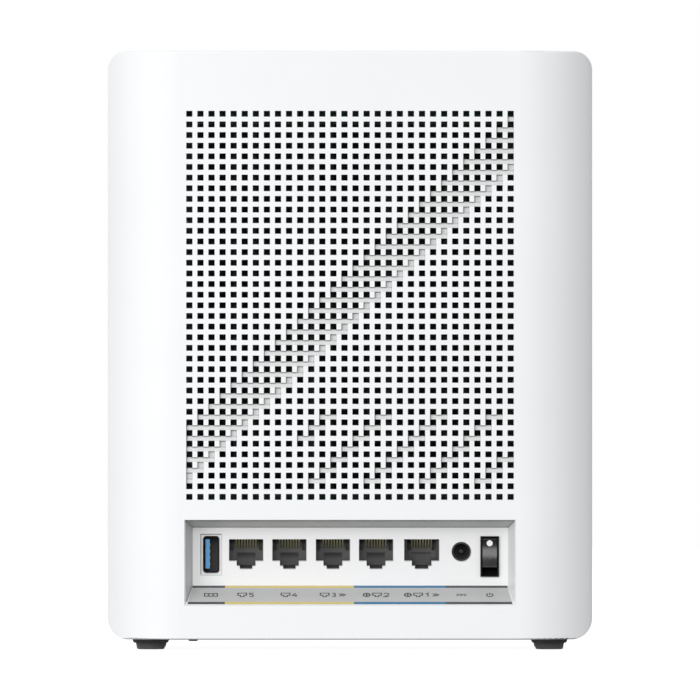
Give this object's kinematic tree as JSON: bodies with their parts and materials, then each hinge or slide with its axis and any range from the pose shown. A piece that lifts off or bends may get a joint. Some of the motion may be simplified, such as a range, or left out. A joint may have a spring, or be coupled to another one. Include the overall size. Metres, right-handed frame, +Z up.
{
  "type": "wireless router",
  "caption": "Tall white free-standing wireless router with a perforated rear face, recessed port bay, power rocker, heat sinks, antennas and rubber feet.",
  "frame": {"origin": "on the floor under the middle of the case", "axes": "+Z up, the port side faces -Y, +X to the right of somebody who looks at the ports"},
  "size_m": [0.1756, 0.094, 0.2164],
  "materials": {
    "case_white": "fine moulded texture",
    "bay_white": "smooth moulded",
    "label_grey": "printed sheet",
    "foot_rubber": "matt",
    "black_plastic": "fine matt",
    "jack_plastic": "fine matt",
    "rocker_gloss": "polished",
    "gold_contact": "gold plated",
    "usb_blue": "smooth",
    "nickel": "nickel plated",
    "black_nickel": "black nickel plated",
    "dark_sink": "black anodised",
    "can_metal": "tin plated",
    "pad_grey": "soft silicone",
    "board_green": "solder mask",
    "screw_steel": "black zinc",
    "antenna_board": "black solder mask",
    "lead_grey": "smooth jacket",
    "lens_clear": "diffusing",
    "button_grey": "smooth moulded",
    "header_cream": "smooth",
    "ribbon_white": "smooth film",
    "frame_grey": "moulded"
  },
  "bodies": {
    "case": {"antenna_leads": "lead_grey", "base_plate": "case_white", "base_screws": "screw_steel", "button_board": "board_green", "coax_plugs": "gold_contact", "dc_jack": "black_plastic", "dc_pin": "nickel", "foot_front_left": "foot_rubber", "foot_front_right": "foot_rubber", "foot_rear_left": "foot_rubber", "foot_rear_right": "foot_rubber", "front_cover": "case_white", "front_heatsink": "dark_sink", "front_thermal_pads": "pad_grey", "inner_frame": "frame_grey", "link_headers": "header_cream", "link_ribbon": "ribbon_white", "main_board": "board_green", "main_board_screws": "screw_steel", "network_contacts_1": "gold_contact", "network_contacts_2": "gold_contact", "network_contacts_3": "gold_contact", "network_contacts_4": "gold_contact", "network_contacts_5": "gold_contact", "network_jack_1": "jack_plastic", "network_jack_2": "jack_plastic", "network_jack_3": "jack_plastic", "network_jack_4": "jack_plastic", "network_jack_5": "jack_plastic", "port_bay": "bay_white", "port_board": "board_green", "port_label": "label_grey", "power_switch_frame": "black_plastic", "rear_cover": "case_white", "rear_grille": "case_white", "rear_heatsink": "dark_sink", "rear_thermal_pads": "pad_grey", "reset_switch": "black_plastic", "shield_can_1": "can_metal", "shield_can_2": "can_metal", "shield_can_3": "can_metal", "side_antenna_1": "antenna_board", "side_antenna_2": "antenna_board", "side_antenna_3": "antenna_board", "side_antenna_4": "antenna_board", "status_board": "board_green", "status_lens": "lens_clear", "top_antenna_1": "antenna_board", "top_antenna_2": "antenna_board", "top_antenna_3": "antenna_board", "top_antenna_4": "antenna_board", "usb_contacts": "gold_contact", "usb_shell": "black_nickel", "usb_tongue": "usb_blue", "wps_switch": "black_plastic"},
    "power_rocker": {"power_rocker": "rocker_gloss"},
    "wps_button": {"wps_button": "button_grey"},
    "reset_button": {"reset_button": "button_grey"}
  },
  "joints": [
    {"name": "rocker_tilt", "type": "hinge", "parent": "case", "child": "power_rocker", "pos_m": [0.05053, -0.0316, 0.0343], "axis": [1, 0, 0], "range_deg": [0, 18]},
    {"name": "wps_press", "type": "slide", "parent": "case", "child": "wps_button", "axis": [0, 0, 1], "range_m": [0, 0.0008], "stiffness_N_per_m": 400, "springref_m": -0.0005},
    {"name": "reset_press", "type": "slide", "parent": "case", "child": "reset_button", "axis": [0, 0, 1], "range_m": [0, 0.0005], "stiffness_N_per_m": 400, "springref_m": -0.0005}
  ]
}
